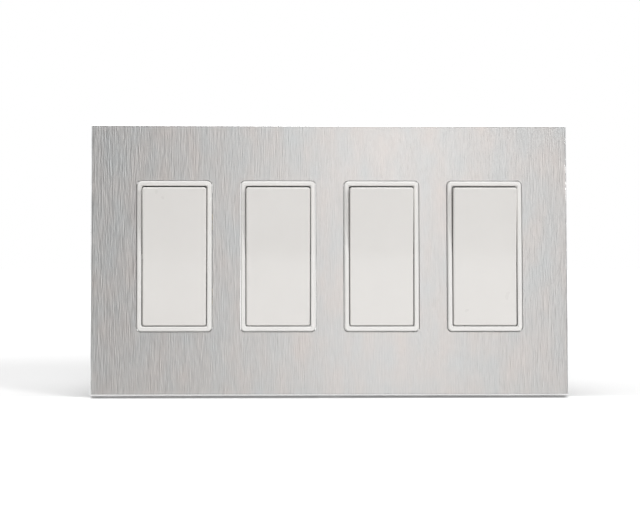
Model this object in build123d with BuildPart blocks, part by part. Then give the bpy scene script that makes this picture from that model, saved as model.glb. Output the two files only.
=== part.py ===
"""Four-gang rocker switch plate with its four switches.

A folded stainless cover with no visible screws snaps over a moulded sub-plate. The sub-plate is
screwed to the steel straps of four single-pole rocker switches that stand side by side at the
standard pitch. Each switch is a paddle that rocks in a bezel. A barrel under the paddle holds a
sprung plunger, and the plunger tips a see-saw contact over on the common terminal.

Frame: X runs to the right and Z up. The wall is the plane Y = 0, and the front faces -Y. Heights
are measured from the wall towards the viewer, depths from the wall into the box. The origin is
the middle of the four switches, on the wall. All sizes are in millimetres and degrees.
"""

import os
from math import cos, pi, radians, sin, tan

from build123d import *

os.makedirs("parts", exist_ok=True)

# Gangs
gang_count = 4
gang_pitch = 46.04
gang_x = [gang_pitch * (i - (gang_count - 1) / 2) for i in range(gang_count)]

# Small round outlines that repeat, such as screw heads, are drawn with this many sides
small_sides = 8

# Folded stainless cover, whose middle is a little below the switches' middle
cover_width = 212.6
cover_height = 121.0
cover_z = -1.6
cover_depth = 7.0
cover_sheet = 1.0
cover_bend = 1.1
window_width = 33.8
window_height = 67.5
window_corner = 2.2
pry_notch_width = 9.0
pry_notch_height = 1.2

# Steel strap
strap_thickness = 1.3
strap_width = 33.0
strap_length = 106.4
strap_corner = 4.0
strap_window_width = 19.0
strap_window_height = 44.0
box_screw_z = 41.67
box_slot_length = 7.6
box_slot_width = 4.1
plate_screw_z = 48.4
screw_clearance = 0.05
ground_tab_z = -36.6
ground_tab_width = 7.6
ground_tab_depth = 11.0
ground_screw_depth = 6.4

# Bezel
bezel_width = 33.3
bezel_height = 67.0
bezel_corner = 2.0
bezel_top = 7.9
bezel_opening_width = 29.0
bezel_opening_height = 62.6
bezel_outer_edge = 0.55
bezel_inner_edge = 0.35
leg_z = 27.5
leg_width = 6.0
leg_thickness = 1.4
leg_outer = 16.3
leg_depth = 8.6
hook_height = 3.0
hook_reach = 0.9
leg_gap = 0.15

# Paddle. It swings from the neutral pose by half_swing each way, and is modelled switched off:
# top out, bottom in.
half_swing = 4.0
vee_angle = 3.0
vee_radius = 67.0
pivot_height = 4.6
face_height = 8.2
paddle_width = 28.3
paddle_length = 61.4
paddle_corner = 0.6
paddle_edge = 0.4
paddle_wall = 1.4
skirt_end_height = 4.0
skirt_middle_height = 2.8
trunnion_radius = 1.2
trunnion_length = 1.25
trunnion_clearance = 0.1
lead_in_depth = 0.5
cross_rib_z = 9.0
long_rib_x = 7.5
rib_thickness = 1.0
rib_height = 4.4
barrel_radius = 3.4
barrel_bore_radius = 2.2
barrel_depth = 11.0
barrel_bore_top = 5.6
gusset_depth = 5.0

# Plunger and its spring, along the barrel
plunger_radius = 2.05
plunger_tip_radius = 0.6
plunger_tip_depth = 16.95
plunger_shoulder_depth = 13.4
plunger_front_depth = 5.0
spring_radius = 1.55
spring_wire = 0.45
spring_turns = 4
turn_sides = 8
spring_end_gap = 0.1

# See-saw contact
contact_swing = 8.0
contact_vee = 6.0
contact_depth = 17.6
contact_thickness = 0.9
contact_width = 6.4
contact_half_length = 11.8
contact_reach = 10.4
lug_width = 1.2
lug_span = 9.8
lug_clearance = 0.15
point_size = 2.6
point_thickness = 0.7
point_gap = 0.15

# Housing
housing_width = 32.6
housing_length = 63.0
housing_depth = 24.0
housing_corner = 1.2
housing_back_edge = 0.8
chamber_width = 19.0
chamber_length = 46.0
chamber_depth = 21.5
terminal_z = 17.0
bay_inner = 11.5
bay_width = 10.4
bay_slot_width = 6.2
blank_wall = 1.2
core_depth = 18.0
end_core_width = 20.0
end_core_height = 4.6
end_core_z = 27.3
wire_hole_radius = 1.15
wire_hole_spread = 2.4
wire_x = 13.4
leg_channel = 1.55
hook_pocket_x = 14.35
hook_pocket_width = 0.9
gauge_length = 16.0
gauge_width = 1.6
gauge_depth = 0.8
stop_width = 4.0
stop_height = 2.0

# Brass terminals
brass = 1.0
cradle_inner = 3.7
cradle_width = 6.0
cradle_front_depth = 15.9
arm_width = 6.0
terminal_plate_width = 9.6
terminal_plate_front = 8.5
terminal_screw_depth = 14.5
common_base_edge = -3.0
load_base_edge = -7.4
base_reach = 20.0
stop_clearance = 0.4

# Fasteners: head radius, head height, shank radius, shank length
box_screw = (3.3, 2.2, 1.7, 19.0)
plate_screw = (3.0, 1.8, 1.65, 12.7)
terminal_screw = (3.8, 1.8, 1.85, 5.3)
ground_screw = (3.8, 1.8, 1.7, 7.5)
ground_head_sides = 6
retainer_width = 9.4
retainer_height = 7.6
retainer_thickness = 0.8
retainer_depth = 0.1
neck_radius = 1.45
neck_end_depth = 1.2
clamp_size = 8.2
clamp_thickness = 0.9
clamp_x = 14.3

# Sub-plate
sub_width = 209.4
sub_height = 117.8
sub_wall = 1.6
sub_web = 1.8
sub_foot_height = 0.4
collar_width = 33.9
collar_height = 67.6
collar_wall = 1.7
brace_thickness = 1.6
divider_thickness = 3.0
divider_length = 96.0
head_hole_size = 7.6
seat_hole_radius = 1.95
bead_length = 18.0
bead_height = 1.2
bead_level = 2.4
side_bead_z = 35.0


def level(height, z=0):
    """The plane parallel to the wall, that far in front of it, facing the viewer, with its
    middle at z."""
    return Plane(origin=(0, -height, z), x_dir=(1, 0, 0), z_dir=(0, -1, 0))


def tilted(height, angle):
    """A plane facing the viewer whose origin is that far in front of the wall, with its top
    tipped forward by the angle."""
    lean = radians(angle)
    return Plane(origin=(0, -height, 0), x_dir=(1, 0, 0), z_dir=(0, -cos(lean), -sin(lean)))


def side_of(plane):
    """The upright section plane through a facing plane's origin. Its first axis points to the
    front and its second one up."""
    return Plane(origin=plane.origin, x_dir=plane.z_dir, z_dir=-plane.x_dir)


def small_round(radius, mode=Mode.ADD):
    """A small round outline with few sides. A solid one lies inside the true circle and a hole
    round it, so that a shank clears its hole."""
    RegularPolygon(
        radius, small_sides, major_radius=mode == Mode.ADD, rotation=180 / small_sides, mode=mode
    )


def export(piece, label):
    """Writes one finished piece."""
    piece.label = label
    export_step(piece, f"parts/{label}.step")


def export_shared(piece, label):
    """Writes one group that holds a piece's copies for all the gangs."""
    copies = [
        solid.moved(Location((x, 0, 0))) for x in gang_x for solid in piece.solids()
    ]
    export(Compound(copies), label)


def export_gangs(piece, label):
    """Writes a copy of a switch's piece for each gang, numbered from the left."""
    for number, x in enumerate(gang_x, start=1):
        export(piece.moved(Location((x, 0, 0))), f"{label}_{number}")


# Stainless cover: a sheet folded back at its four edges, with a window for each switch.
cover_back = cover_depth - cover_sheet
with BuildPart() as steel_cover:
    with BuildSketch(level(0, cover_z)):
        Rectangle(cover_width, cover_height)
    extrude(amount=cover_depth)
    fillet(steel_cover.faces().sort_by(Axis.Y)[0].edges(), cover_bend)
    with BuildSketch(level(0, cover_z)):
        Rectangle(cover_width - 2 * cover_sheet, cover_height - 2 * cover_sheet)
    extrude(amount=cover_back, mode=Mode.SUBTRACT)
    with BuildSketch(level(cover_depth)):
        with GridLocations(gang_pitch, 1, gang_count, 1):
            RectangleRounded(window_width, window_height, window_corner)
    extrude(amount=-cover_depth, mode=Mode.SUBTRACT)
    with BuildSketch(level(0, cover_z)):
        with Locations((0, -cover_height / 2)):
            Rectangle(pry_notch_width, 3 * cover_sheet)
    extrude(amount=pry_notch_height, mode=Mode.SUBTRACT)
export(steel_cover.part, "steel_cover")

# Strap: the steel yoke that carries the switch on the wall box, with a tab for the ground screw.
strap_side = strap_width / 2
slot_centres = box_slot_length - box_slot_width
notch_width = strap_side - leg_outer + leg_thickness + leg_gap
with BuildPart() as strap:
    with BuildSketch(level(0)) as strap_outline:
        Rectangle(strap_width, strap_length)
        chamfer(strap_outline.vertices(), strap_corner)
        Rectangle(strap_window_width, strap_window_height, mode=Mode.SUBTRACT)
        with GridLocations(1, 2 * box_screw_z, 1, 2):
            Rectangle(slot_centres, box_slot_width, mode=Mode.SUBTRACT)
        with GridLocations(slot_centres, 2 * box_screw_z, 2, 2):
            small_round(box_slot_width / 2, Mode.SUBTRACT)
        with GridLocations(1, 2 * plate_screw_z, 1, 2):
            small_round(plate_screw[2] + screw_clearance, Mode.SUBTRACT)
        with GridLocations(strap_width, 2 * leg_z, 2, 2):
            Rectangle(2 * notch_width, leg_width + 2 * leg_gap, mode=Mode.SUBTRACT)
    extrude(amount=strap_thickness)
    with BuildSketch(Plane.YZ.offset(-strap_side)):
        with Locations((ground_tab_depth / 2 - strap_thickness, ground_tab_z)):
            Rectangle(ground_tab_depth, ground_tab_width)
        with Locations((ground_screw_depth, ground_tab_z)):
            small_round(ground_screw[2] + screw_clearance, Mode.SUBTRACT)
    extrude(amount=strap_thickness)
export_gangs(strap.part, "strap")

# Bezel: the frame round the paddle, held through the strap by four hooked legs.
with BuildPart() as bezel:
    with BuildSketch(level(strap_thickness)):
        RectangleRounded(bezel_width, bezel_height, bezel_corner)
    extrude(amount=bezel_top - strap_thickness)
    chamfer(bezel.faces().sort_by(Axis.Y)[0].edges(), bezel_outer_edge)
    with BuildSketch(level(strap_thickness)):
        Rectangle(bezel_opening_width, bezel_opening_height)
    extrude(amount=bezel_top - strap_thickness, mode=Mode.SUBTRACT)
    chamfer(bezel.faces().sort_by(Axis.Y)[0].inner_wires()[0].edges(), bezel_inner_edge)
    with BuildSketch(Plane.YZ):
        with Locations((-pivot_height, 0)):
            RegularPolygon(trunnion_radius + trunnion_clearance, small_sides, major_radius=False)
    extrude(
        amount=bezel_opening_width / 2 + trunnion_length - leg_gap, both=True, mode=Mode.SUBTRACT
    )
    with BuildSketch(level(strap_thickness)):
        Rectangle(bezel_opening_width + 2 * lead_in_depth, 2 * trunnion_radius)
    extrude(amount=pivot_height - strap_thickness, mode=Mode.SUBTRACT)
    with BuildSketch(level(strap_thickness)):
        with GridLocations(2 * leg_outer - leg_thickness, 2 * leg_z, 2, 2):
            Rectangle(leg_thickness, leg_width)
    extrude(amount=-leg_depth - strap_thickness)
    with BuildSketch(Plane.XY.offset(leg_z), Plane.XY.offset(-leg_z)):
        with BuildLine():
            Polyline(
                (leg_outer - leg_thickness, leg_depth - hook_height),
                (leg_outer - leg_thickness - hook_reach, leg_depth - hook_height),
                (leg_outer - leg_thickness, leg_depth),
                close=True,
            )
        make_face()
        mirror(about=Plane.YZ)
    extrude(amount=leg_width / 2, both=True)
export_gangs(bezel.part, "bezel")

# Paddle: a shallow vee-faced shell on two trunnions, ribbed inside, with the plunger's barrel.
# Its sections are drawn from the pivot, first to the front and then up.
paddle_plane = tilted(pivot_height, half_swing)
paddle_side = side_of(paddle_plane)
paddle_axis = Axis(paddle_plane.origin, paddle_plane.z_dir)
half_length = paddle_length / 2
inner_half_length = half_length - paddle_wall
inner_half_width = paddle_width / 2 - paddle_wall
vee_slope = tan(radians(vee_angle))
face_middle = face_height - pivot_height
face_end = face_middle + half_length * vee_slope
skirt_end = skirt_end_height - pivot_height
skirt_middle = skirt_middle_height - pivot_height
ceiling_middle = face_middle - paddle_wall
ceiling_end = ceiling_middle + inner_half_length * vee_slope
rib_back = rib_height - pivot_height
barrel_end = -pivot_height - barrel_depth
bore_top = barrel_bore_top - pivot_height
with BuildPart() as paddle_hollow:
    with BuildSketch(paddle_side):
        with BuildLine():
            Polyline(
                (ceiling_middle, 0),
                (ceiling_end, inner_half_length),
                (skirt_middle, inner_half_length),
                (skirt_middle, -inner_half_length),
                (ceiling_end, -inner_half_length),
                close=True,
            )
        make_face()
    extrude(amount=inner_half_width, both=True)
    with BuildSketch(paddle_plane.offset(rib_back)):
        with GridLocations(2 * long_rib_x, 1, 2, 1):
            Rectangle(rib_thickness, paddle_length)
        with GridLocations(1, 2 * cross_rib_z, 1, 2):
            Rectangle(paddle_width, rib_thickness)
    extrude(amount=face_end, mode=Mode.SUBTRACT)
with BuildPart() as paddle:
    with BuildSketch(paddle_side):
        with BuildLine():
            Polyline(
                (face_middle, 0),
                (face_end, half_length),
                (skirt_end, half_length),
                (skirt_middle, 0),
                (skirt_end, -half_length),
                (face_end, -half_length),
                close=True,
            )
        make_face()
    extrude(amount=paddle_width / 2, both=True)
    fold = paddle.edges().filter_by(Axis.X).sort_by(paddle_axis)
    fillet(
        fold.filter_by(lambda edge: abs(paddle_plane.to_local_coords(edge.center()).Y) < 1)[-1],
        vee_radius,
    )
    chamfer(paddle.edges().filter_by(paddle_axis), paddle_corner)
    face_edges = paddle.faces().filter_by(
        lambda face: face.normal_at().dot(paddle_plane.z_dir) > cos(radians(2 * vee_angle))
    ).edges()
    rim = face_edges.filter_by(
        lambda edge: abs(edge.center().X) > inner_half_width
        or abs(paddle_plane.to_local_coords(edge.center()).Y) > inner_half_length
    )
    chamfer(rim, paddle_edge)
    add(paddle_hollow.part, mode=Mode.SUBTRACT)
    with BuildSketch(paddle_side):
        with BuildLine():
            Polyline(
                (rib_back, cross_rib_z),
                (rib_back, -cross_rib_z),
                (barrel_end + gusset_depth, 0),
                close=True,
            )
        make_face()
    extrude(amount=rib_thickness / 2, both=True)
    with BuildSketch(paddle_plane.offset(barrel_end)):
        small_round(barrel_radius)
    extrude(amount=ceiling_middle + paddle_wall / 2 - barrel_end)
    with BuildSketch(paddle_plane.offset(barrel_end)):
        RegularPolygon(
            barrel_bore_radius, small_sides, major_radius=False, rotation=180 / small_sides
        )
    extrude(amount=bore_top - barrel_end, mode=Mode.SUBTRACT)
    for side in (-1, 1):
        with BuildSketch(Plane.YZ.offset(side * paddle_width / 2)):
            with Locations((-pivot_height, 0)):
                small_round(trunnion_radius)
        extrude(amount=side * trunnion_length)
export_gangs(paddle.part, "paddle")

# Plunger: a nylon pin with a tapered tip that slides in the barrel.
plunger_front = -pivot_height - plunger_front_depth
plunger_tip = -pivot_height - plunger_tip_depth
taper_length = plunger_tip_depth - plunger_shoulder_depth
taper_step = (plunger_radius - plunger_tip_radius) * cos(pi / small_sides)
with BuildPart() as plunger:
    with BuildSketch(paddle_plane.offset(plunger_tip)):
        small_round(plunger_radius)
    extrude(amount=plunger_front - plunger_tip)
    tip_face = plunger.faces().sort_by(paddle_axis)[0]
    chamfer(tip_face.edges(), taper_step, taper_length, reference=tip_face)
export_gangs(plunger.part, "plunger")

# Plunger spring: a coil of square-sectioned turns between the plunger and the bore's end.
spring_start = plunger_front + spring_wire / 2 + spring_end_gap
spring_height = bore_top - spring_wire / 2 - spring_end_gap - spring_start
coil_corners = spring_turns * turn_sides
coil_points = [
    paddle_plane.from_local_coords(
        (
            spring_radius * cos(2 * pi * corner / turn_sides),
            spring_radius * sin(2 * pi * corner / turn_sides),
            spring_start + spring_height * corner / coil_corners,
        )
    )
    for corner in range(coil_corners + 1)
]
with BuildPart() as plunger_spring:
    with BuildLine() as coil:
        Polyline(*coil_points)
    with BuildSketch(Plane(origin=coil.line @ 0, z_dir=coil.line % 0)):
        Rectangle(spring_wire, spring_wire)
    sweep(path=coil.line, transition=Transition.RIGHT)
export_gangs(plunger_spring.part, "plunger_spring")

# See-saw contact: a vee-bent brass strip that rocks on two lugs, tipped to its open side.
contact_plane = tilted(-contact_depth, -contact_swing)
contact_side = side_of(contact_plane)
contact_rise = contact_half_length * tan(radians(contact_vee))
half_sheet = contact_thickness / 2
with BuildPart() as contact_strip:
    with BuildSketch(contact_side):
        with BuildLine():
            Polyline(
                (half_sheet, 0),
                (half_sheet + contact_rise, contact_half_length),
                (-half_sheet + contact_rise, contact_half_length),
                (-half_sheet, 0),
                (-half_sheet + contact_rise, -contact_half_length),
                (half_sheet + contact_rise, -contact_half_length),
                close=True,
            )
        make_face()
    extrude(amount=contact_width / 2, both=True)
    with BuildSketch(contact_plane):
        Rectangle(lug_span, lug_width)
    extrude(amount=half_sheet, both=True)
export_gangs(contact_strip.part, "contact_arm")

# Moving contact point: a silver alloy button on the back of the lower arm.
lower_arm_plane = contact_plane.rotated((-contact_vee, 0, 0))
with BuildPart() as moving_point:
    with BuildSketch(lower_arm_plane.offset(-half_sheet)):
        with Locations((0, -contact_reach)):
            Rectangle(point_size, point_size)
    extrude(amount=-point_thickness)
export_gangs(moving_point.part, "moving_point")

# Housing: the moulded box behind the strap, with the contact chamber and two terminal bays.
bay_x = housing_width / 2 - (housing_width / 2 - bay_inner) / 2
chamber_wall = bay_inner - chamber_width / 2
core_width = housing_width / 2 - bay_inner - blank_wall
core_x = bay_inner + core_width / 2
stop_depth = (
    contact_depth
    + contact_reach * sin(radians(contact_swing - contact_vee))
    + half_sheet
    + point_gap
)
with BuildPart() as housing:
    with BuildSketch(level(0)):
        Rectangle(housing_width, housing_length)
    extrude(amount=-housing_depth)
    chamfer(housing.edges().filter_by(Axis.Y), housing_corner)
    chamfer(housing.faces().sort_by(Axis.Y)[-1].edges(), housing_back_edge)
    with BuildSketch(level(0)):
        Rectangle(chamber_width, chamber_length)
        with GridLocations(1, 2 * terminal_z, 1, 2):
            with Locations((bay_x, 0)):
                Rectangle(housing_width / 2 - bay_inner, bay_width)
            with Locations((bay_inner - chamber_wall / 2, 0)):
                Rectangle(chamber_wall, bay_slot_width)
    extrude(amount=-chamber_depth, mode=Mode.SUBTRACT)
    with BuildSketch(level(0)):
        with Locations((core_x, 0)):
            Rectangle(core_width, bay_width)
        with Locations((-core_x, 0)):
            with GridLocations(1, terminal_z, 1, 3):
                Rectangle(core_width, bay_width)
        with GridLocations(1, 2 * end_core_z, 1, 2):
            Rectangle(end_core_width, end_core_height)
    extrude(amount=-core_depth, mode=Mode.SUBTRACT)
    with BuildSketch(level(0)):
        with GridLocations(housing_width - leg_channel, 2 * leg_z, 2, 2):
            Rectangle(leg_channel, leg_width + 2 * leg_gap)
    extrude(amount=-leg_depth - hook_reach, mode=Mode.SUBTRACT)
    with BuildSketch(level(-leg_depth + hook_height)):
        with GridLocations(2 * hook_pocket_x, 2 * leg_z, 2, 2):
            Rectangle(hook_pocket_width, leg_width + 2 * leg_gap)
    extrude(amount=-hook_height - hook_reach, mode=Mode.SUBTRACT)
    with BuildSketch(level(-chamber_depth)):
        with Locations((0, contact_reach)):
            Rectangle(stop_width, stop_height)
    extrude(amount=chamber_depth - stop_depth)
    with BuildSketch(level(-housing_depth)):
        with Locations((wire_x, terminal_z), (wire_x, -terminal_z)):
            with GridLocations(1, 2 * wire_hole_spread, 1, 2):
                RegularPolygon(wire_hole_radius, small_sides, major_radius=False)
    extrude(amount=housing_depth - chamber_depth, mode=Mode.SUBTRACT)
    with BuildSketch(level(-housing_depth)):
        Rectangle(gauge_width, gauge_length)
    extrude(amount=gauge_depth, mode=Mode.SUBTRACT)
export_gangs(housing.part, "housing")

# Common terminal: a folded brass plate whose two ears carry the see-saw.
terminal_base = level(-chamber_depth)
cradle_outer = cradle_inner + brass
notch_bottom = contact_depth + half_sheet + lug_clearance
terminal_plate_x = bay_inner + brass / 2
plate_middle = (terminal_plate_front + chamber_depth) / 2
with BuildPart() as common_terminal:
    with BuildSketch(terminal_base):
        with Locations((0, (base_reach + common_base_edge) / 2)):
            Rectangle(2 * cradle_outer, base_reach - common_base_edge)
        with Locations(((cradle_outer + terminal_plate_x) / 2, terminal_z)):
            Rectangle(terminal_plate_x - cradle_outer, arm_width)
        with Locations((0, contact_reach)):
            Rectangle(
                stop_width + stop_clearance, stop_height + stop_clearance, mode=Mode.SUBTRACT
            )
    extrude(amount=brass)
    with BuildSketch(Plane.YZ.offset(cradle_inner), Plane.YZ.offset(-cradle_outer)):
        with Locations(((cradle_front_depth + chamber_depth) / 2, 0)):
            Rectangle(chamber_depth - cradle_front_depth, cradle_width)
        with Locations(((cradle_front_depth + notch_bottom) / 2, 0)):
            Rectangle(
                notch_bottom - cradle_front_depth,
                lug_width + 2 * lug_clearance,
                mode=Mode.SUBTRACT,
            )
    extrude(amount=brass)
    with BuildSketch(Plane.YZ.offset(bay_inner)):
        with Locations((plate_middle, terminal_z)):
            Rectangle(chamber_depth - terminal_plate_front, terminal_plate_width)
        with Locations((terminal_screw_depth, terminal_z)):
            small_round(terminal_screw[2] + screw_clearance, Mode.SUBTRACT)
    extrude(amount=brass)
export_gangs(common_terminal.part, "common_terminal")

# Load terminal: the same kind of plate, carrying the fixed contact point.
load_base_middle = (load_base_edge - base_reach) / 2
with BuildPart() as load_terminal:
    with BuildSketch(terminal_base):
        with Locations((0, load_base_middle)):
            Rectangle(2 * cradle_inner, base_reach + load_base_edge)
        with Locations(((cradle_inner + terminal_plate_x) / 2, -terminal_z)):
            Rectangle(terminal_plate_x - cradle_inner, arm_width)
    extrude(amount=brass)
    with BuildSketch(Plane.YZ.offset(bay_inner)):
        with Locations((plate_middle, -terminal_z)):
            Rectangle(chamber_depth - terminal_plate_front, terminal_plate_width)
        with Locations((terminal_screw_depth, -terminal_z)):
            small_round(terminal_screw[2] + screw_clearance, Mode.SUBTRACT)
    extrude(amount=brass)
export_gangs(load_terminal.part, "load_terminal")

# Fixed contact points: silver alloy buttons on the load terminals.
fixed_point_depth = stop_depth + point_thickness
with BuildPart() as fixed_point:
    with BuildSketch(level(brass - chamber_depth)):
        with Locations((0, -contact_reach)):
            Rectangle(point_size, point_size)
    extrude(amount=chamber_depth - brass - fixed_point_depth)
export_shared(fixed_point.part, "fixed_points")

# Box screws: they fasten each strap to the wall box. Their necks are thinner than their threads,
# which keeps them in the retainers.
head_radius, head_height, shank_radius, shank_length = box_screw
with BuildPart() as box_screws:
    with BuildSketch(level(strap_thickness)):
        with GridLocations(1, 2 * box_screw_z, 1, 2):
            small_round(head_radius)
    extrude(amount=head_height)
    with BuildSketch(level(strap_thickness)):
        with GridLocations(1, 2 * box_screw_z, 1, 2):
            small_round(neck_radius)
    extrude(amount=-neck_end_depth - strap_thickness)
    with BuildSketch(level(-neck_end_depth)):
        with GridLocations(1, 2 * box_screw_z, 1, 2):
            Circle(shank_radius)
    extrude(amount=neck_end_depth + strap_thickness - shank_length)
export_shared(box_screws.part, "box_screws")

# Screw retainers: fibre squares that keep the box screws from falling out.
with BuildPart() as screw_retainers:
    with BuildSketch(level(-retainer_depth)):
        with GridLocations(1, 2 * box_screw_z, 1, 2):
            Rectangle(retainer_width, retainer_height)
            small_round(neck_radius + screw_clearance, Mode.SUBTRACT)
    extrude(amount=-retainer_thickness)
export_shared(screw_retainers.part, "screw_retainers")

# Plate screws: they fasten the sub-plate to the tapped holes at the straps' ends.
head_radius, head_height, shank_radius, shank_length = plate_screw
with BuildPart() as plate_screws:
    with BuildSketch(level(strap_thickness + sub_web)):
        with GridLocations(1, 2 * plate_screw_z, 1, 2):
            small_round(head_radius)
    extrude(amount=head_height)
    with BuildSketch(level(strap_thickness + sub_web)):
        with GridLocations(1, 2 * plate_screw_z, 1, 2):
            small_round(shank_radius)
    extrude(amount=-shank_length)
export_shared(plate_screws.part, "plate_screws")

# Terminal screws: brass binding screws that draw the wire clamps down on the terminals.
head_radius, head_height, shank_radius, shank_length = terminal_screw
head_seat = Plane.YZ.offset(clamp_x + clamp_thickness)
terminal_spots = [(terminal_screw_depth, terminal_z), (terminal_screw_depth, -terminal_z)]
with BuildPart() as terminal_screws:
    with BuildSketch(head_seat):
        with Locations(*terminal_spots):
            small_round(head_radius)
    extrude(amount=head_height)
    with BuildSketch(head_seat):
        with Locations(*terminal_spots):
            small_round(shank_radius)
    extrude(amount=-shank_length)
export_shared(terminal_screws.part, "terminal_screws")

# Wire clamps: brass squares under the terminal screws' heads.
with BuildPart() as wire_clamps:
    with BuildSketch(Plane.YZ.offset(clamp_x)):
        with Locations(*terminal_spots):
            Rectangle(clamp_size, clamp_size)
            small_round(shank_radius + screw_clearance, Mode.SUBTRACT)
    extrude(amount=clamp_thickness)
export_shared(wire_clamps.part, "wire_clamps")

# Ground screws: green screws with six-sided heads in the straps' folded tabs.
head_radius, head_height, shank_radius, shank_length = ground_screw
with BuildPart() as ground_screws:
    with BuildSketch(Plane.YZ.offset(-strap_side)):
        with Locations((ground_screw_depth, ground_tab_z)):
            RegularPolygon(head_radius, ground_head_sides)
    extrude(amount=-head_height)
    with BuildSketch(Plane.YZ.offset(-strap_side)):
        with Locations((ground_screw_depth, ground_tab_z)):
            small_round(shank_radius)
    extrude(amount=shank_length)
export_shared(ground_screws.part, "ground_screws")

# Sub-plate: the moulded adapter between the straps and the cover. Dividers reach the wall
# between the gangs, collars reach the cover round each window, and beads grip its folded rim.
bead_reach = (cover_width - 2 * cover_sheet - sub_width) / 2
with BuildPart() as sub_plate:
    with BuildSketch(level(strap_thickness, cover_z)):
        Rectangle(sub_width, sub_height)
    extrude(amount=sub_web)
    with BuildSketch(level(sub_foot_height, cover_z)):
        Rectangle(sub_width, sub_height)
        Rectangle(sub_width - 2 * sub_wall, sub_height - 2 * sub_wall, mode=Mode.SUBTRACT)
    extrude(amount=cover_back - sub_foot_height)
    with BuildSketch(level(strap_thickness)):
        with GridLocations(gang_pitch, 1, gang_count, 1):
            Rectangle(collar_width + 2 * collar_wall, collar_height + 2 * collar_wall)
        with GridLocations(gang_pitch, 1, gang_count - 1, 1):
            with Locations((0, cover_z)):
                Rectangle(brace_thickness, sub_height - sub_wall)
    extrude(amount=cover_back - strap_thickness)
    with BuildSketch(level(0)):
        with GridLocations(gang_pitch, 1, gang_count - 1, 1):
            Rectangle(divider_thickness, divider_length)
    extrude(amount=strap_thickness)
    with BuildSketch(level(strap_thickness)):
        with GridLocations(gang_pitch, 1, gang_count, 1):
            Rectangle(collar_width, collar_height)
    extrude(amount=cover_back - strap_thickness, mode=Mode.SUBTRACT)
    with BuildSketch(level(strap_thickness)):
        with GridLocations(gang_pitch, 2 * box_screw_z, gang_count, 2):
            Rectangle(head_hole_size, head_hole_size)
        with GridLocations(gang_pitch, 2 * plate_screw_z, gang_count, 2):
            RegularPolygon(seat_hole_radius, small_sides, major_radius=False)
    extrude(amount=sub_web, mode=Mode.SUBTRACT)
    with BuildSketch(level(bead_level, cover_z)):
        with GridLocations(gang_pitch, sub_height + bead_reach, gang_count, 2):
            Rectangle(bead_length, bead_reach)
        with GridLocations(sub_width + bead_reach, 2 * side_bead_z, 2, 2):
            Rectangle(bead_reach, bead_length)
    extrude(amount=bead_height)
export(sub_plate.part, "sub_plate")
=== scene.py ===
import math

import bpy
import bmesh
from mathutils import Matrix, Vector


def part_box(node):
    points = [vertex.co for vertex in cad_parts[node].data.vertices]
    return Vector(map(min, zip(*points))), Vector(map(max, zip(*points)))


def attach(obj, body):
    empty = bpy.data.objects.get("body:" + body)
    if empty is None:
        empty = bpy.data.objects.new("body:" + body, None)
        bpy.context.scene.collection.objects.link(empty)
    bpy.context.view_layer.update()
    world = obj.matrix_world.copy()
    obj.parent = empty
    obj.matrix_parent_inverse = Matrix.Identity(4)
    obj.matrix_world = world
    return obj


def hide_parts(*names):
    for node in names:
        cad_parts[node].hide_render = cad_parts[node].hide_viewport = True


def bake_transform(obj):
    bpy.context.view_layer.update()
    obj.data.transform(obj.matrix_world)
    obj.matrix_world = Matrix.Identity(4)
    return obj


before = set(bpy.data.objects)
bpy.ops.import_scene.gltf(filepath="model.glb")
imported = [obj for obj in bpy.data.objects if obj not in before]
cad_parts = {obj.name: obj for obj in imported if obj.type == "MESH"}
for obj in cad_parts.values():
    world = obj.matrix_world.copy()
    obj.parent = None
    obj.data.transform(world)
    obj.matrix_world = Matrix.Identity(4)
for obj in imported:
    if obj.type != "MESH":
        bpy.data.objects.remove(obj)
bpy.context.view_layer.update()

scene = bpy.context.scene
scene.view_settings.view_transform = "Standard"

# Camera: a long lens a little to the left of the plate's middle and a little below it, turned
# slightly up, because the plate stands leaning back.
image_width = 640
focal_pixels = 2012
camera_place = (-0.0286, -0.900, -0.0596)
camera_turn = (93.624, 0.098, -1.548)
camera_data = bpy.data.cameras.new("camera")
camera_data.sensor_width = 36
camera_data.lens = focal_pixels * camera_data.sensor_width / image_width
camera_data.clip_start = 0.01
camera_data.clip_end = 20
camera = bpy.data.objects.new("camera", camera_data)
camera.location = camera_place
camera.rotation_euler = [math.radians(angle) for angle in camera_turn]
scene.collection.objects.link(camera)
scene.camera = camera


# Studio table: a white board that meets the plate's lower back edge. It glows a little where the
# camera and the steel see it, which takes it to white far behind the plate and close before it.
def fill(tree, node, inputs):
    """Sets each input of a node to a value, or joins it to another node's output."""
    for label, value in inputs.items():
        if isinstance(value, bpy.types.NodeSocket):
            tree.links.new(value, node.inputs[label])
        else:
            node.inputs[label].default_value = value


def add_node(tree, kind, inputs=None, **settings):
    """A new node. Its inputs go by their labels or their numbers."""
    node = tree.nodes.new(kind)
    for name, value in settings.items():
        setattr(node, name, value)
    fill(tree, node, inputs or {})
    return node


def part_of(tree, vector, letter):
    """One coordinate of a vector."""
    return add_node(tree, "ShaderNodeSeparateXYZ", {0: vector}).outputs[letter]


def worked_out(tree, operation, *values, clamp=False):
    """The result of one sum or comparison."""
    node = add_node(
        tree, "ShaderNodeMath", dict(enumerate(values)), operation=operation, use_clamp=clamp
    )
    return node.outputs[0]


def ramp(tree, source, start, end, low=0.0, high=1.0, kind="SMOOTHSTEP"):
    """Goes from low to high while the source goes from start to end."""
    node = add_node(
        tree,
        "ShaderNodeMapRange",
        {"Value": source, "From Min": start, "From Max": end, "To Min": low, "To Max": high},
        interpolation_type=kind,
    )
    return node.outputs[0]


def mesh_object(name, mesh):
    """An object at the origin, with its place in its mesh."""
    made = bpy.data.objects.new(name, mesh)
    scene.collection.objects.link(made)
    return made


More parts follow.
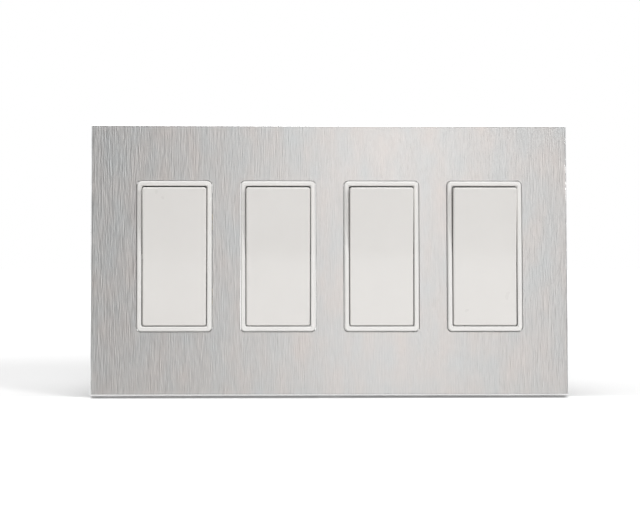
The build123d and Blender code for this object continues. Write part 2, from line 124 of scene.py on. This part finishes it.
lean = math.radians(8)
plate_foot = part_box("steel_cover")[0].z
table_near = 0.33
table_far = 0.7
table_side = 0.5
table_gap = 0.0002
table_colour = (0.77, 0.77, 0.77, 1)
sweep_start, sweep_end = 0.08, 0.40
sweep_low, sweep_high = 0.02, 0.40
apron_start, apron_end = -0.007, 0.003
apron_glow = 0.40
table_mesh = bpy.data.meshes.new("table")
table_mesh.from_pydata(
    [
        (side * table_side, reach, plate_foot - table_gap + reach * math.tan(lean))
        for reach in (-table_near, table_far)
        for side in (-1, 1)
    ],
    [],
    [(0, 1, 3, 2)],
)
table = mesh_object("table", table_mesh)
table_paint = bpy.data.materials.new("table_white")
table_paint.use_nodes = True
tree = table_paint.node_tree
tree.nodes.clear()
rays = add_node(tree, "ShaderNodeLightPath").outputs
seen = worked_out(tree, "ADD", rays["Is Camera Ray"], rays["Is Glossy Ray"], clamp=True)
seen_through = worked_out(tree, "ADD", seen, rays["Is Transmission Ray"], clamp=True)
reach = part_of(tree, add_node(tree, "ShaderNodeTexCoord").outputs["Object"], "Y")
sweep = ramp(tree, reach, sweep_start, sweep_end, sweep_low, sweep_high)
apron = ramp(tree, reach, apron_start, apron_end, apron_glow, 0.0)
apron_seen = worked_out(tree, "MULTIPLY", apron, rays["Is Camera Ray"])
share = worked_out(tree, "ADD", sweep, apron_seen)
shine = worked_out(tree, "MULTIPLY", seen_through, share)
glow = add_node(tree, "ShaderNodeEmission", {"Strength": shine})
matt = add_node(tree, "ShaderNodeBsdfDiffuse", {"Color": table_colour})
both = add_node(tree, "ShaderNodeAddShader", {0: glow.outputs[0], 1: matt.outputs[0]})
add_node(tree, "ShaderNodeOutputMaterial", {"Surface": both.outputs[0]})
table_mesh.materials.append(table_paint)


# Studio room: white behind the plate and for the camera, and dimmer in front, where the steel
# mirrors it.
def mixed(tree, mask, first, second, kind="RGBA"):
    """Two colours or two numbers, mixed by a mask."""
    node = add_node(
        tree, "ShaderNodeMix", {"Factor": mask, "A": first, "B": second}, data_type=kind
    )
    return node.outputs["Result"]


room_front = 0.40
room_back = 1.0
turn_start, turn_end = -0.5, 0.3
room = bpy.data.worlds.new("room")
scene.world = room
room.use_nodes = True
tree = room.node_tree
tree.nodes.clear()
ahead = part_of(tree, add_node(tree, "ShaderNodeTexCoord").outputs["Generated"], "Y")
turn = ramp(tree, ahead, turn_start, turn_end, room_front, room_back)
camera_ray = add_node(tree, "ShaderNodeLightPath").outputs["Is Camera Ray"]
level = mixed(tree, camera_ray, turn, 1.0, kind="FLOAT")
sky = add_node(tree, "ShaderNodeBackground", {"Color": (1, 1, 1, 1), "Strength": level})
add_node(tree, "ShaderNodeOutputWorld", {"Surface": sky.outputs[0]})


# Softboxes: one close in front, which the brushed steel smears into its light band, a strong one
# far to the right, and one above for the paddles' top ends and the table.
def softbox(name, place, target, width, height, radiance):
    """An area light given by how bright its surface looks."""
    data = bpy.data.lights.new(name, "AREA")
    data.shape = "RECTANGLE"
    data.size = width
    data.size_y = height
    data.energy = radiance * math.pi * width * height
    made = bpy.data.objects.new(name, data)
    made.location = place
    aim = Vector(target) - Vector(place)
    made.rotation_euler = aim.to_track_quat("-Z", "Y").to_euler()
    scene.collection.objects.link(made)


softbox(
    "front_box",
    place=(0.105, -0.95, 0.16),
    target=(0.105, 0, 0),
    width=0.30,
    height=0.60,
    radiance=1.88,
)
softbox(
    "side_box", place=(3.0, -2.5, 1.9), target=(0, 0, 0), width=1.0, height=1.0, radiance=20.0
)
softbox(
    "top_box", place=(-0.1, -0.30, 1.4), target=(-0.1, 0, 0), width=1.0, height=0.6, radiance=5.5
)


# Cover: a sheet of stainless steel, brushed up and down on a belt and then folded back along its
# four edges, with a punched window for each switch. The bends are smoother than the face and are
# painted a lighter colour, a painted highlight. It snaps over the sub-plate.
def new_group(name, inputs, outputs):
    """A shader group with its sockets, and the outputs of its first node."""
    group = bpy.data.node_groups.new(name, "ShaderNodeTree")
    for label, kind, value in inputs:
        socket = group.interface.new_socket(label, in_out="INPUT", socket_type=kind)
        if value is not None:
            socket.default_value = value
    for label, kind in outputs:
        group.interface.new_socket(label, in_out="OUTPUT", socket_type=kind)
    return group, add_node(group, "NodeGroupInput").outputs


brushed_lines, given = new_group(
    "brushed_lines",
    [
        ("Vector", "NodeSocketVector", None),
        ("Lines Across", "NodeSocketVector", (1200.0, 1200.0, 45.0)),
        ("Patches Across", "NodeSocketVector", (110.0, 110.0, 50.0)),
        ("Depth", "NodeSocketFloat", 0.00002),
    ],
    [("Lines", "NodeSocketFloat"), ("Patches", "NodeSocketFloat"), ("Normal", "NodeSocketVector")],
)
fine_place = add_node(
    brushed_lines,
    "ShaderNodeVectorMath",
    {0: given["Vector"], 1: given["Lines Across"]},
    operation="MULTIPLY",
)
fine = add_node(
    brushed_lines,
    "ShaderNodeTexNoise",
    {
        "Vector": fine_place.outputs[0],
        "Scale": 1.0,
        "Detail": 1.5,
        "Roughness": 0.65,
        "Distortion": 0.2,
    },
    normalize=True,
)
broad_place = add_node(
    brushed_lines,
    "ShaderNodeVectorMath",
    {0: given["Vector"], 1: given["Patches Across"]},
    operation="MULTIPLY",
)
broad = add_node(
    brushed_lines,
    "ShaderNodeTexNoise",
    {"Vector": broad_place.outputs[0], "Scale": 1.0, "Detail": 2.0},
    normalize=True,
)
relief = add_node(
    brushed_lines,
    "ShaderNodeBump",
    {"Strength": 1.0, "Distance": given["Depth"], "Height": fine.outputs["Fac"]},
)
add_node(
    brushed_lines,
    "NodeGroupOutput",
    {
        "Lines": fine.outputs["Fac"],
        "Patches": broad.outputs["Fac"],
        "Normal": relief.outputs["Normal"],
    },
)


def place_group(tree, group, values):
    """A copy of a shared effect in a material, on the piece's own coordinates."""
    place = add_node(tree, "ShaderNodeTexCoord").outputs["Object"]
    return add_node(tree, "ShaderNodeGroup", {"Vector": place, **values}, node_tree=group)


def ranged(tree, mask, low, high):
    """Spreads a mask's middle half over a range of values."""
    return ramp(tree, mask, 0.25, 0.75, low, high, kind="LINEAR")


def two_tone(tree, mask, dark, light):
    """A colour between two shades, by a mask."""
    return mixed(tree, ranged(tree, mask, 0.0, 1.0), (*dark, 1), (*light, 1))


line_dark, line_light = 0.86, 1.06


def brushed_metal(name, dark, light, across, depth, smooth, rough, metal_level=1.0):
    """A bare or plated metal with rolled or brushed lines."""
    made = bpy.data.materials.new(name)
    made.use_nodes = True
    tree = made.node_tree
    lines = place_group(tree, brushed_lines, {"Lines Across": across, "Depth": depth})
    streaked = add_node(
        tree,
        "ShaderNodeVectorMath",
        {
            0: two_tone(tree, lines.outputs["Patches"], dark, light),
            "Scale": ranged(tree, lines.outputs["Lines"], line_dark, line_light),
        },
        operation="SCALE",
    )
    fill(
        tree,
        tree.nodes["Principled BSDF"],
        {
            "Metallic": metal_level,
            "Base Color": streaked.outputs[0],
            "Roughness": ranged(tree, lines.outputs["Lines"], smooth, rough),
            "Normal": lines.outputs["Normal"],
        },
    )
    return made


same_point = 2e-6
on_corner = 1e-5
flat_angle = math.radians(0.5)
sharp_angle = math.radians(32)
corner_steps = 7
sorting_line = Vector((0.83, 0.47, 0.29))


def rounded_copy(node, edge, steps, material, body, corners=(), corner=0.0):
    """The piece with its sharp edges broken, as a die or a tool leaves them. The edges that run
    from front to back at the named corners are rounded first, which leaves the faces in any
    order, so they are sorted. The copy stands for the node."""
    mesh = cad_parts[node].data.copy()
    form = bmesh.new()
    form.from_mesh(mesh)
    bmesh.ops.remove_doubles(form, verts=form.verts, dist=same_point)
    bmesh.ops.dissolve_limit(form, angle_limit=flat_angle, verts=form.verts, edges=form.edges)
    for x, z in corners:
        chosen = [
            side
            for side in form.edges
            if all(math.hypot(end.co.x - x, end.co.z - z) < on_corner for end in side.verts)
        ]
        bmesh.ops.bevel(
            form, geom=chosen, offset=corner, segments=corner_steps, profile=0.5, affect="EDGES"
        )
    if corners:
        form.faces.sort(key=lambda face: face.calc_center_median().dot(sorting_line))
    form.to_mesh(mesh)
    form.free()
    mesh.materials.clear()
    mesh.materials.append(material)
    made = mesh_object(node + "_finished", mesh)
    bevel = made.modifiers.new("edges", "BEVEL")
    bevel.width = edge
    bevel.segments = steps
    bevel.limit_method = "ANGLE"
    bevel.angle_limit = sharp_angle
    bevel.use_clamp_overlap = True
    for face in mesh.polygons:
        face.use_smooth = True
    mesh.set_sharp_from_angle(angle=sharp_angle)
    weighted = made.modifiers.new("normals", "WEIGHTED_NORMAL")
    weighted.keep_sharp = True
    weighted.weight = 100
    depsgraph = bpy.context.evaluated_depsgraph_get()
    baked = bpy.data.meshes.new_from_object(made.evaluated_get(depsgraph))
    made.modifiers.clear()
    made.data = baked
    baked.name = node + "_finished"
    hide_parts(node)
    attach(made, body)


def source_of(node, label):
    """The output that an input is joined to now."""
    return node.inputs[label].links[0].from_socket


stainless = brushed_metal(
    "stainless_cover",
    dark=(0.575, 0.54, 0.52),
    light=(0.525, 0.535, 0.535),
    across=(2100.0, 2100.0, 140.0),
    depth=0.00010,
    smooth=0.29,
    rough=0.40,
)
grain_middle = 0.020
grain_reach = 0.14
grain_shallow, grain_deep = 0.00002, 0.00012
front_facing, bend_facing = -0.995, -0.94
rim_start, rim_facing = -0.25, -0.05
bend_highlight_colour = (0.95, 0.95, 0.95, 1)
bend_roughness = 0.16
tree = stainless.node_tree
shader = tree.nodes["Principled BSDF"]
# The belt bit deeper towards the plate's two ends.
across = part_of(tree, add_node(tree, "ShaderNodeTexCoord").outputs["Object"], "X")
away = worked_out(tree, "ABSOLUTE", worked_out(tree, "SUBTRACT", across, grain_middle))
bite = ramp(tree, away, 0.0, grain_reach, grain_shallow, grain_deep, kind="LINEAR")
fill(tree, source_of(shader, "Normal").node, {"Depth": bite})
# The bends are what faces neither the front nor the sides.
facing = part_of(tree, add_node(tree, "ShaderNodeNewGeometry").outputs["Normal"], "Y")
off_front = ramp(tree, facing, front_facing, bend_facing)
off_rim = ramp(tree, facing, rim_start, rim_facing, 1.0, 0.0)
on_bend = worked_out(tree, "MULTIPLY", off_front, off_rim)
# Painted highlight: the bends get a much lighter colour than the face, as well as their lower
# roughness.
bend_lightened = mixed(tree, on_bend, source_of(shader, "Base Color"), bend_highlight_colour)
gloss = mixed(tree, on_bend, source_of(shader, "Roughness"), bend_roughness, kind="FLOAT")
fill(tree, shader, {"Base Color": bend_lightened, "Roughness": gloss})
rounded_copy("steel_cover", edge=0.00012, steps=2, material=stainless, body="plate")

# Sub-plate: the adapter behind the cover, moulded in grey impact-proof plastic with a wall round
# its edge. It is screwed to the straps, and the cover's folded rim snaps over the beads on it.
moulded_skin, given = new_group(
    "moulded_skin",
    [
        ("Vector", "NodeSocketVector", None),
        ("Grains per Metre", "NodeSocketFloat", 2500.0),
        ("Depth", "NodeSocketFloat", 0.00001),
    ],
    [("Flow", "NodeSocketFloat"), ("Normal", "NodeSocketVector")],
)
grains = add_node(
    moulded_skin,
    "ShaderNodeTexNoise",
    {"Vector": given["Vector"], "Scale": given["Grains per Metre"], "Detail": 2.0},
    normalize=True,
)
flow = add_node(
    moulded_skin,
    "ShaderNodeTexNoise",
    {"Vector": given["Vector"], "Scale": 45.0, "Detail": 3.0},
    normalize=True,
)
relief = add_node(
    moulded_skin,
    "ShaderNodeBump",
    {"Strength": 1.0, "Distance": given["Depth"], "Height": grains.outputs["Fac"]},
)
add_node(
    moulded_skin,
    "NodeGroupOutput",
    {"Flow": flow.outputs["Fac"], "Normal": relief.outputs["Normal"]},
)

plastic_ior = 1.53


def moulded_plastic(name, dark, light, grains, depth, smooth, rough):
    """A moulded plastic with its slight flow marks."""
    made = bpy.data.materials.new(name)
    made.use_nodes = True
    tree = made.node_tree
    skin = place_group(tree, moulded_skin, {"Grains per Metre": grains, "Depth": depth})
    fill(
        tree,
        tree.nodes["Principled BSDF"],
        {
            "IOR": plastic_ior,
            "Base Color": two_tone(tree, skin.outputs["Flow"], dark, light),
            "Roughness": ranged(tree, skin.outputs["Flow"], smooth, rough),
            "Normal": skin.outputs["Normal"],
        },
    )
    return made


adapter = moulded_plastic(
    "adapter_plastic",
    dark=(0.26, 0.26, 0.27),
    light=(0.30, 0.30, 0.31),
    grains=1800.0,
    depth=0.00002,
    smooth=0.42,
    rough=0.55,
)
rounded_copy("sub_plate", edge=0.0001, steps=1, material=adapter, body="plate")

# Straps: the steel yokes that carry the switches on the wall box. Each is pressed from zinc
# plated strip and bent once, for the ground screw's tab.
zinc = brushed_metal(
    "zinc_steel",
    dark=(0.50, 0.51, 0.50),
    light=(0.66, 0.67, 0.64),
    across=(260.0, 260.0, 160.0),
    depth=0.00002,
    smooth=0.26,
    rough=0.44,
)
switch_count = 4
switch_numbers = range(1, switch_count + 1)
for number in switch_numbers:
    rounded_copy(f"strap_{number}", edge=0.00012, steps=2, material=zinc, body="plate")

# Bezels: frames round the paddles, moulded in a slightly warm glossy white and hooked through the
# straps. The openings' corners are rounded. Their walls in the gap round the paddle get a dark
# painted shade, and the walls outside a lighter painted shade, for the gap to the cover.
bezel_white = moulded_plastic(
    "bezel_white",
    dark=(0.78, 0.765, 0.745),
    light=(0.82, 0.81, 0.79),
    grains=3200.0,
    depth=0.000004,
    smooth=0.20,
    rough=0.30,
)
gang_pitch = 0.04604
opening_side = 0.0145
opening_end = 0.0313
opening_corner = 0.0011
rim_side = 0.0155
rim_end = 0.0324
shade_start, shade_full = -0.0078, -0.0073
painted_gap_shade = (0.06, 0.055, 0.05, 1)
outer_share = 0.3
tree = bezel_white.node_tree
shader = tree.nodes["Principled BSDF"]
place = add_node(tree, "ShaderNodeTexCoord").outputs["Object"]
# Painted shade: the walls below the bezel's face are darkened, fully in the opening round the
# paddle and less on the outside.
sunk = ramp(tree, part_of(tree, place, "Y"), shade_start, shade_full)
# The distance from the nearest line midway between two switches.
between = worked_out(tree, "PINGPONG", part_of(tree, place, "X"), gang_pitch / 2)
near_side = worked_out(tree, "GREATER_THAN", between, gang_pitch / 2 - rim_side)
height = worked_out(tree, "ABSOLUTE", part_of(tree, place, "Z"))
near_end = worked_out(tree, "LESS_THAN", height, rim_end)
in_opening = worked_out(tree, "MULTIPLY", near_side, near_end)
wall_share = worked_out(tree, "MAXIMUM", in_opening, outer_share)
shade = worked_out(tree, "MULTIPLY", sunk, wall_share)
shaded = mixed(tree, shade, source_of(shader, "Base Color"), painted_gap_shade)
fill(tree, shader, {"Base Color": shaded})
for number in switch_numbers:
    low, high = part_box(f"bezel_{number}")
    centre = (low.x + high.x) / 2
    rounded_copy(
        f"bezel_{number}",
        edge=0.00032,
        steps=3,
        material=bezel_white,
        body="plate",
        corners=[
            (centre + side * opening_side, end * opening_end)
            for side in (-1, 1)
            for end in (-1, 1)
        ],
        corner=opening_corner,
    )

# Paddles: thin shells with a shallow vee face, moulded in the bezels' white with a finer skin.
# Each rocks on two trunnions in its bezel.
paddle_white = moulded_plastic(
    "paddle_white",
    dark=(0.745, 0.725, 0.70),
    light=(0.77, 0.75, 0.725),
    grains=2600.0,
    depth=0.000006,
    smooth=0.26,
    rough=0.36,
)
for number in switch_numbers:
    paddle = f"paddle_{number}"
    rounded_copy(paddle, edge=0.0002, steps=3, material=paddle_white, body=paddle)

# Plungers: pins of natural nylon that slide in the paddles' barrels and press on the see-saw
# contacts.
nylon = moulded_plastic(
    "nylon",
    dark=(0.68, 0.66, 0.58),
    light=(0.74, 0.72, 0.64),
    grains=2000.0,
    depth=0.000006,
    smooth=0.35,
    rough=0.45,
)
for number in switch_numbers:
    plunger = f"plunger_{number}"
    rounded_copy(plunger, edge=0.0001, steps=2, material=nylon, body=plunger)

# Plunger springs: hard drawn steel wire, coiled. Each lies along its paddle's barrel, with one end
# seated in it. The plunger slides against the other end, so the coils close up with it.
spring_steel = brushed_metal(
    "spring_steel",
    dark=(0.28, 0.28, 0.29),
    light=(0.36, 0.36, 0.37),
    across=(900.0, 900.0, 900.0),
    depth=0.000004,
    smooth=0.25,
    rough=0.4,
)


def new_tree(name, inputs):
    """A geometry tree with its sockets, the identifier of each input, and the outputs of its
    first node."""
    tree = bpy.data.node_groups.new(name, "GeometryNodeTree")
    keys = {}
    for label, kind in inputs:
        socket = tree.interface.new_socket(label, in_out="INPUT", socket_type=kind)
        keys[label] = socket.identifier
    tree.interface.new_socket("Geometry", in_out="OUTPUT", socket_type="NodeSocketGeometry")
    return tree, keys, add_node(tree, "NodeGroupInput").outputs


def finish_tree(tree, geometry, material):
    """Ends a geometry tree with real copies in the given material."""
    real = add_node(tree, "GeometryNodeRealizeInstances", {"Geometry": geometry})
    painted = add_node(
        tree,
        "GeometryNodeSetMaterial",
        {"Geometry": real.outputs["Geometry"], "Material": material},
    )
    add_node(tree, "NodeGroupOutput", {"Geometry": painted.outputs["Geometry"]})


def grown(name, tree, keys, values, mesh=None):
    """The mesh that a geometry tree makes from these values, as a plain object."""
    made = mesh_object(name, mesh or bpy.data.meshes.new(name))
    modifier = made.modifiers.new("tree", "NODES")
    modifier.node_group = tree
    for label, value in values.items():
        modifier[keys[label]] = value
    depsgraph = bpy.context.evaluated_depsgraph_get()
    mesh = bpy.data.meshes.new_from_object(made.evaluated_get(depsgraph))
    made.modifiers.clear()
    made.data = mesh
    mesh.name = name
    return made


coil, coil_keys, given = new_tree(
    "coil",
    [
        ("Coil Radius", "NodeSocketFloat"),
        ("Wire Radius", "NodeSocketFloat"),
        ("Height", "NodeSocketFloat"),
        ("Turns", "NodeSocketFloat"),
        ("Place", "NodeSocketVector"),
        ("Lean", "NodeSocketVector"),
        ("Material", "NodeSocketMaterial"),
    ],
)
turn_steps = 28
wire_sides = 12
spiral = add_node(
    coil,
    "GeometryNodeCurveSpiral",
    {
        "Resolution": turn_steps,
        "Rotations": given["Turns"],
        "Start Radius": given["Coil Radius"],
        "End Radius": given["Coil Radius"],
        "Height": given["Height"],
    },
)
wire = add_node(
    coil,
    "GeometryNodeCurvePrimitiveCircle",
    {"Resolution": wire_sides, "Radius": given["Wire Radius"]},
)
drawn = add_node(
    coil,
    "GeometryNodeCurveToMesh",
    {
        "Fill Caps": True,
        "Curve": spiral.outputs["Curve"],
        "Profile Curve": wire.outputs["Curve"],
    },
)
moved = add_node(
    coil,
    "GeometryNodeTransform",
    {
        "Geometry": drawn.outputs["Mesh"],
        "Translation": given["Place"],
        "Rotation": given["Lean"],
    },
)
finish_tree(coil, moved.outputs["Geometry"], given["Material"])

paddle_lean = math.radians(4)
coil_radius = 0.0015
wire_radius = 0.00022
coil_turns = 4.0
spring_height = 0.00995
barrel_line = Vector((0, -math.cos(paddle_lean), -math.sin(paddle_lean)))
for number in switch_numbers:
    low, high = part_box(f"plunger_spring_{number}")
    plunger_end = (low + high) / 2 - barrel_line * spring_height / 2
    spring = grown(
        f"wire_spring_{number}",
        coil,
        coil_keys,
        {
            "Coil Radius": coil_radius,
            "Wire Radius": wire_radius,
            "Height": spring_height,
            "Turns": coil_turns,
            "Place": plunger_end,
            "Lean": Vector((math.radians(90) + paddle_lean, 0, 0)),
            "Material": spring_steel,
        },
    )
    spring.data.shade_smooth()
    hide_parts(f"plunger_spring_{number}")
    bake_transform(spring)

# Contacts, terminals and wire clamps: rolled brass strip, pressed and folded. The see-saw contact
# rocks in the common terminal's two ears, and the clamps lie under the terminal screws' heads.
brass = brushed_metal(
    "brass",
    dark=(0.62, 0.45, 0.20),
    light=(0.76, 0.58, 0.28),
    across=(600.0, 90.0, 600.0),
    depth=0.00001,
    smooth=0.22,
    rough=0.40,
)
strip_edge = {"edge": 0.00006, "steps": 1, "material": brass}
for number in switch_numbers:
    rounded_copy(f"contact_arm_{number}", body=f"contact_{number}", **strip_edge)
    rounded_copy(f"common_terminal_{number}", body="plate", **strip_edge)
    rounded_copy(f"load_terminal_{number}", body="plate", **strip_edge)
rounded_copy("wire_clamps", edge=0.0001, steps=2, material=brass, body="plate")

# Contact points: buttons of silver alloy, riveted to the see-saws' arms and to the load
# terminals.
silver = brushed_metal(
    "silver_alloy",
    dark=(0.74, 0.73, 0.70),
    light=(0.84, 0.83, 0.81),
    across=(900.0, 900.0, 900.0),
    depth=0.000006,
    smooth=0.2,
    rough=0.36,
)
button_edge = {"edge": 0.00012, "steps": 2, "material": silver}
for number in switch_numbers:
    rounded_copy(f"moving_point_{number}", body=f"contact_{number}", **button_edge)
rounded_copy("fixed_points", body="plate", **button_edge)

# Housings: boxes moulded in dark heat-proof plastic behind the straps. They hold the contacts and
# terminals, and the bezels' legs hook into them.
housing_plastic = moulded_plastic(
    "housing_plastic",
    dark=(0.030, 0.030, 0.032),
    light=(0.045, 0.045, 0.048),
    grains=1500.0,
    depth=0.00002,
    smooth=0.35,
    rough=0.5,
)
for number in switch_numbers:
    rounded_copy(
        f"housing_{number}", edge=0.00018, steps=2, material=housing_plastic, body="plate"
    )

# Box screws: zinc plated machine screws with rolled threads and slotted pan heads. They hold each
# strap on the wall box, and their necks are thinner than their threads.
screw_steel = brushed_metal(
    "screw_steel",
    dark=(0.52, 0.52, 0.50),
    light=(0.66, 0.66, 0.63),
    across=(500.0, 500.0, 500.0),
    depth=0.000008,
    smooth=0.25,
    rough=0.42,
)
pan_head = [
    (0.55, 0.985, None),
    (0.8, 0.92, None),
    (0.93, 0.76, None),
    (0.985, 0.5, None),
    (0.985, 0.06, None),
    (0.96, 0.0, None),
]
screw_sides = 24
thread_rows = 4
thread_pitch = 0.00079
thread_depth = 0.55
thread_lead = 0.1
point_rise = 0.35
point_share = 0.72
same_place = 1e-7


def screw_mesh(name, head, head_height, outline, shank, length, neck, neck_length):
    """One screw that points down, with its head on the zero level. The outline gives the head's
    shape from its middle outwards, as shares of its radius and height, and the number of its
    corners, or None where it is round."""
    form = bmesh.new()
    rings = []

    def ring(radius, level, corners=None):
        """A level ring of points. With corners given, it is a many-sided outline."""
        points = []
        for step in range(screw_sides):
            angle = math.tau * step / screw_sides
            reach = radius
            if corners:
                half = math.pi / corners
                reach = radius * math.cos(half) / math.cos(angle % (2 * half) - half)
            points.append(form.verts.new((reach * math.cos(angle), reach * math.sin(angle), level)))
        rings.append(points)

    def bridge(first, second):
        """The faces between two rings."""
        for step in range(screw_sides):
            after = (step + 1) % screw_sides
            form.faces.new((first[after], first[step], second[step], second[after]))

    for reach, rise, corners in outline:
        ring(head * reach, head_height * rise, corners)
    form.faces.new(rings[0])
    ring(neck, 0.0)
    ring(neck, -neck_length)
    root = shank - thread_depth * thread_pitch
    thread_start = -neck_length - thread_lead * thread_pitch
    thread_end = -length + point_rise * shank
    ring(root, thread_start)
    for first, second in zip(rings, rings[1:]):
        bridge(first, second)

    turns = math.ceil((thread_start - thread_end) / thread_pitch)
    last_row = thread_rows * (turns + 1)
    thread = {}
    for row in range(-thread_rows, last_row + 1):
        for step in range(screw_sides):
            angle = math.tau * step / screw_sides
            level = thread_start - thread_pitch * (row / thread_rows + step / screw_sides)
            kept = min(max(level, thread_end), thread_start)
            high = row % thread_rows >= thread_rows / 2 and kept == level
            reach = shank if high else root
            place = (reach * math.cos(angle), reach * math.sin(angle), kept)
            thread[step, row] = form.verts.new(place)
    for row in range(-thread_rows, last_row):
        for step in range(screw_sides):
            after = step + 1
            upper = (after, row) if after < screw_sides else (0, row + thread_rows)
            lower = (upper[0], upper[1] + 1)
            if lower in thread:
                form.faces.new(
                    (thread[upper], thread[step, row], thread[step, row + 1], thread[lower])
                )
    rings.clear()
    ring(root, thread_end)
    ring(root * point_share, -length)
    bridge(*rings)
    form.faces.new(reversed(rings[1]))
    bmesh.ops.remove_doubles(form, verts=form.verts, dist=same_place)
    bmesh.ops.dissolve_degenerate(form, edges=form.edges, dist=same_place)
    bmesh.ops.recalc_face_normals(form, faces=form.faces)
    mesh = bpy.data.meshes.new(name)
    form.to_mesh(mesh)
    form.free()
    return mesh


screw_rows, row_keys, given = new_tree(
    "screw_rows",
    [
        ("Geometry", "NodeSocketGeometry"),
        ("Slot", "NodeSocketVector"),
        ("Slot Level", "NodeSocketFloat"),
        ("Across", "NodeSocketFloat"),
        ("Columns", "NodeSocketInt"),
        ("Up", "NodeSocketFloat"),
        ("Rows", "NodeSocketInt"),
        ("Place", "NodeSocketVector"),
        ("Turn", "NodeSocketVector"),
        ("Material", "NodeSocketMaterial"),
    ],
)
cutter = add_node(screw_rows, "GeometryNodeMeshCube", {"Size": given["Slot"]})
lift = add_node(screw_rows, "ShaderNodeCombineXYZ", {"Z": given["Slot Level"]})
lifted = add_node(
    screw_rows,
    "GeometryNodeTransform",
    {"Geometry": cutter.outputs["Mesh"], "Translation": lift.outputs[0]},
)
slotted = add_node(
    screw_rows,
    "GeometryNodeMeshBoolean",
    {"Mesh 1": given["Geometry"], "Mesh 2": lifted.outputs["Geometry"]},
    operation="DIFFERENCE",
)
spots = add_node(
    screw_rows,
    "GeometryNodeMeshGrid",
    {
        "Size X": given["Across"],
        "Size Y": given["Up"],
        "Vertices X": given["Columns"],
        "Vertices Y": given["Rows"],
    },
)
upright = add_node(
    screw_rows,
    "GeometryNodeTransform",
    {
        "Geometry": spots.outputs["Mesh"],
        "Translation": given["Place"],
        "Rotation": (math.radians(90), 0, 0),
    },
)
copies = add_node(
    screw_rows,
    "GeometryNodeInstanceOnPoints",
    {
        "Points": upright.outputs["Geometry"],
        "Instance": slotted.outputs["Mesh"],
        "Rotation": given["Turn"],
    },
)
finish_tree(screw_rows, copies.outputs["Instances"], given["Material"])


def place_screws(node, mesh, slot, slot_level, up, rows, place, turn, material):
    """The rows of screws, one column for each switch. They stand for the node."""
    screws = grown(
        node + "_cut",
        screw_rows,
        row_keys,
        {
            "Slot": Vector(slot),
            "Slot Level": slot_level,
            "Across": (switch_count - 1) * gang_pitch,
            "Columns": switch_count,
            "Up": up,
            "Rows": rows,
            "Place": Vector(place),
            "Turn": Vector(turn),
            "Material": material,
        },
        mesh,
    )
    for face in screws.data.polygons:
        face.use_smooth = True
    screws.data.set_sharp_from_angle(angle=sharp_angle)
    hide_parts(node)
    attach(screws, "plate")


heads_forward = (math.radians(90), 0, 0)
box_screw = screw_mesh(
    "box_screw",
    head=0.0033,
    head_height=0.0022,
    outline=pan_head,
    shank=0.00168,
    length=0.0190,
    neck=0.00125,
    neck_length=0.0024,
)
place_screws(
    "box_screws",
    box_screw,
    slot=(0.00095, 0.01, 0.0018),
    slot_level=0.0021,
    up=0.08334,
    rows=2,
    place=(0, -0.0013, 0),
    turn=heads_forward,
    material=screw_steel,
)

# Plate screws: shorter machine screws of the same kind. They run into the tapped holes at the
# straps' ends and hold the sub-plate.
plate_screw = screw_mesh(
    "plate_screw",
    head=0.0030,
    head_height=0.0018,
    outline=pan_head,
    shank=0.00163,
    length=0.0127,
    neck=0.00125,
    neck_length=0.0010,
)
place_screws(
    "plate_screws",
    plate_screw,
    slot=(0.00095, 0.01, 0.0017),
    slot_level=0.0017,
    up=0.0968,
    rows=2,
    place=(0, -0.0031, 0),
    turn=heads_forward,
    material=screw_steel,
)

# Retainers: squares cut from brown vulcanised fibre and pushed on to the box screws' necks, so
# that the screws stay with the straps.
fibre = moulded_plastic(
    "fibre",
    dark=(0.20, 0.075, 0.035),
    light=(0.30, 0.12, 0.06),
    grains=900.0,
    depth=0.00003,
    smooth=0.6,
    rough=0.8,
)
rounded_copy("screw_retainers", edge=0.00006, steps=1, material=fibre, body="plate")

# Terminal screws: brass binding screws with slotted pan heads on the housings' right sides. They
# press the wire clamps against the terminals.
screw_brass = brushed_metal(
    "screw_brass",
    dark=(0.60, 0.44, 0.20),
    light=(0.74, 0.57, 0.28),
    across=(500.0, 500.0, 500.0),
    depth=0.000008,
    smooth=0.22,
    rough=0.38,
)
terminal_screw = screw_mesh(
    "terminal_screw",
    head=0.0038,
    head_height=0.0018,
    outline=pan_head,
    shank=0.00183,
    length=0.0053,
    neck=0.0014,
    neck_length=0.0005,
)
place_screws(
    "terminal_screws",
    terminal_screw,
    slot=(0.0011, 0.012, 0.0017),
    slot_level=0.0017,
    up=0.034,
    rows=2,
    place=(0.0152, 0.0145, 0),
    turn=(0, math.radians(90), 0),
    material=screw_brass,
)

# Ground screws: six-sided slotted heads, dyed green as the rules for wiring ask. Each sits in its
# strap's folded tab.
green_screw = brushed_metal(
    "green_screw",
    dark=(0.03, 0.22, 0.08),
    light=(0.05, 0.32, 0.12),
    across=(500.0, 500.0, 500.0),
    depth=0.000008,
    smooth=0.3,
    rough=0.45,
    metal_level=0.7,
)
hex_head = [(0.5, 1.0, None), (0.78, 1.0, None), (0.98, 0.86, 6), (0.99, 0.80, 6), (0.99, 0.0, 6)]
ground_screw = screw_mesh(
    "ground_screw",
    head=0.0038,
    head_height=0.0018,
    outline=hex_head,
    shank=0.00168,
    length=0.0075,
    neck=0.0013,
    neck_length=0.0005,
)
place_screws(
    "ground_screws",
    ground_screw,
    slot=(0.012, 0.0010, 0.0014),
    slot_level=0.0017,
    up=0.0,
    rows=1,
    place=(-0.0165, 0.0064, -0.0366),
    turn=(0, math.radians(-90), 0),
    material=green_screw,
)
